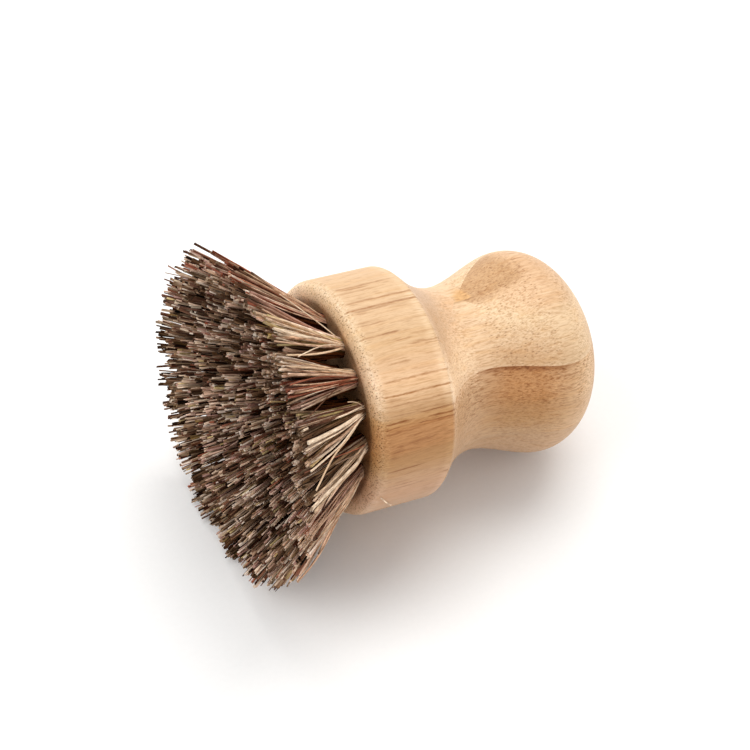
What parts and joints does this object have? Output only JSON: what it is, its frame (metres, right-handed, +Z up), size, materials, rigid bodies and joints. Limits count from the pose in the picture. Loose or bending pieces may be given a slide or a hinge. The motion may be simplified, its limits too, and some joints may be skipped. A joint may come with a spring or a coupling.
{
  "type": "palm brush",
  "caption": "Short palm brush with a turned laminated bamboo handle, a round knob for the palm and a flared head of stiff plant-fibre bristles, lying on its side.",
  "frame": {"origin": "centre of the bounding box's bottom face; the brush lies on its side on the floor, as in the picture", "axes": "+X horizontal, from the bristles toward the knob; +Y square to the handle axis; +Z up. The handle axis falls 10.45 degrees toward the knob."},
  "size_m": [0.0914, 0.0728, 0.0714],
  "materials": {
    "bamboo_tan": "satin, fine straight grain, medium tan layer",
    "bamboo_pale": "satin, fine straight grain, pale layer",
    "bamboo_dark": "satin, fine straight grain, dark caramel layer",
    "bamboo_medium": "satin, fine straight grain, pinkish tan layer",
    "plant_fibre": "stiff mixed natural fibres, straw, brown and nearly black",
    "anchor_steel": "plain flat wire"
  },
  "bodies": {
    "root": {"bamboo_board_1_collar": "bamboo_tan", "bamboo_board_1_knob": "bamboo_tan", "bamboo_board_2": "bamboo_pale", "bamboo_board_3": "bamboo_dark", "bamboo_board_4": "bamboo_medium", "bamboo_board_5": "bamboo_medium", "bamboo_board_6": "bamboo_medium", "bamboo_board_7": "bamboo_medium", "bristle_tuft_centre": "plant_fibre", "bristle_tuft_inner_01": "plant_fibre", "bristle_tuft_inner_02": "plant_fibre", "bristle_tuft_inner_03": "plant_fibre", "bristle_tuft_inner_04": "plant_fibre", "bristle_tuft_inner_05": "plant_fibre", "bristle_tuft_middle_01": "plant_fibre", "bristle_tuft_middle_02": "plant_fibre", "bristle_tuft_middle_03": "plant_fibre", "bristle_tuft_middle_04": "plant_fibre", "bristle_tuft_middle_05": "plant_fibre", "bristle_tuft_middle_06": "plant_fibre", "bristle_tuft_middle_07": "plant_fibre", "bristle_tuft_middle_08": "plant_fibre", "bristle_tuft_middle_09": "plant_fibre", "bristle_tuft_middle_10": "plant_fibre", "bristle_tuft_middle_11": "plant_fibre", "bristle_tuft_outer_01": "plant_fibre", "bristle_tuft_outer_02": "plant_fibre", "bristle_tuft_outer_03": "plant_fibre", "bristle_tuft_outer_04": "plant_fibre", "bristle_tuft_outer_05": "plant_fibre", "bristle_tuft_outer_06": "plant_fibre", "bristle_tuft_outer_07": "plant_fibre", "bristle_tuft_outer_08": "plant_fibre", "bristle_tuft_outer_09": "plant_fibre", "bristle_tuft_outer_10": "plant_fibre", "bristle_tuft_outer_11": "plant_fibre", "bristle_tuft_outer_12": "plant_fibre", "bristle_tuft_outer_13": "plant_fibre", "bristle_tuft_outer_14": "plant_fibre", "bristle_tuft_outer_15": "plant_fibre", "bristle_tuft_outer_16": "plant_fibre", "tuft_anchor_centre": "anchor_steel", "tuft_anchors_inner_ring": "anchor_steel", "tuft_anchors_middle_ring": "anchor_steel", "tuft_anchors_outer_ring": "anchor_steel"}
  },
  "joints": []
}
